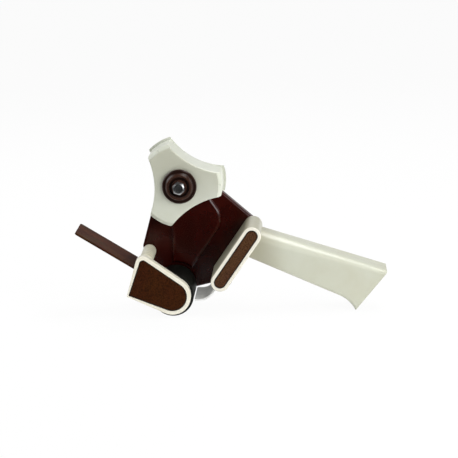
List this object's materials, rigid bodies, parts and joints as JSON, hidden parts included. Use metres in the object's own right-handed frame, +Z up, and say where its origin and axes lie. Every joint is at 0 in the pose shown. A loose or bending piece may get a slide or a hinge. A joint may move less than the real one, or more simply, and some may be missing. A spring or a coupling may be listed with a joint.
{
  "type": "tape dispenser",
  "caption": "Hand-held carton tape dispenser with a side plate, lobed tape hub and brake knob, rubber roller, guide roller, flap over a serrated blade, and a pistol handle.",
  "frame": {"origin": "centre of the bounding box's base, on the plane the roller and the handle's tip stand on", "axes": "+X back along the handle, +Y across the tape towards the side plate, +Z up"},
  "size_m": [0.2786, 0.072, 0.1565],
  "materials": {
    "plate_paint": "gloss dark brown paint on sheet steel",
    "ivory_plastic": "smooth ivory moulding",
    "brown_plastic": "smooth dark brown moulding",
    "brown_inlay": "pebbled brown panel",
    "black_rubber": "smooth black rubber",
    "black_plastic": "black moulding",
    "friction_fibre": "pressed fibre",
    "bronze": "plain bronze",
    "bright_plate": "bright plated sheet",
    "zinc_steel": "bright zinc plate",
    "spring_steel": "plain hardened steel"
  },
  "bodies": {
    "frame": {"axle_lock_nut": "zinc_steel", "axle_nuts": "zinc_steel", "bar_screws": "zinc_steel", "blade": "spring_steel", "blade_bar": "zinc_steel", "blade_screws": "zinc_steel", "block_inlay": "brown_inlay", "block_screws": "zinc_steel", "brake_disc": "friction_fibre", "brake_spring": "spring_steel", "cover_inlay": "brown_inlay", "cover_screws": "zinc_steel", "end_plate": "zinc_steel", "flap_pin": "zinc_steel", "flap_pin_clips": "spring_steel", "flap_spring": "spring_steel", "guide_axle": "zinc_steel", "guide_axle_clips": "spring_steel", "guide_plate": "bright_plate", "guide_plate_screws": "zinc_steel", "handle_far_shell": "ivory_plastic", "handle_near_shell": "ivory_plastic", "handle_screws": "zinc_steel", "hub_axle": "zinc_steel", "pressure_washer": "zinc_steel", "roller_axle": "zinc_steel", "roller_cover": "ivory_plastic", "side_plate": "plate_paint"},
    "hub": {"tape_hub": "ivory_plastic"},
    "thrust": {"thrust_washer": "zinc_steel"},
    "knob": {"tension_knob": "brown_plastic", "knob_nut": "zinc_steel"},
    "roller": {"roller_tyre": "black_rubber", "roller_core": "black_plastic", "roller_bushes": "bronze"},
    "guide": {"guide_roller": "ivory_plastic"},
    "flap": {"flap": "brown_plastic"}
  },
  "joints": [
    {"name": "hub_spin", "type": "hinge", "parent": "frame", "child": "hub", "pos_m": [-0.0437, 0, 0.1176], "axis": [0, 1, 0], "continuous": true},
    {"name": "knob_advance", "type": "slide", "parent": "frame", "child": "thrust", "axis": [0, 1, 0], "range_m": [-0.001, 0.001], "deforming": ["brake_spring"]},
    {"name": "knob_turn", "type": "hinge", "parent": "thrust", "child": "knob", "pos_m": [-0.0437, 0, 0.1176], "axis": [0, 1, 0], "range_deg": [-360, 360]},
    {"name": "roller_spin", "type": "hinge", "parent": "frame", "child": "roller", "pos_m": [-0.053, 0, 0.0186], "axis": [0, 1, 0], "continuous": true},
    {"name": "guide_spin", "type": "hinge", "parent": "frame", "child": "guide", "pos_m": [-0.0763, 0, 0.0508], "axis": [0, 1, 0], "continuous": true},
    {"name": "flap_swing", "type": "hinge", "parent": "frame", "child": "flap", "pos_m": [-0.0794, 0, 0.0365], "axis": [0, 1, 0], "range_deg": [0, 25], "stiffness_Nm_per_rad": 0.02, "springref_deg": -34.38, "deforming": ["flap_spring"]}
  ],
  "couplings": [
    {"joint": "knob_turn", "follows": "knob_advance", "rad_per_m": 6283.2}
  ]
}
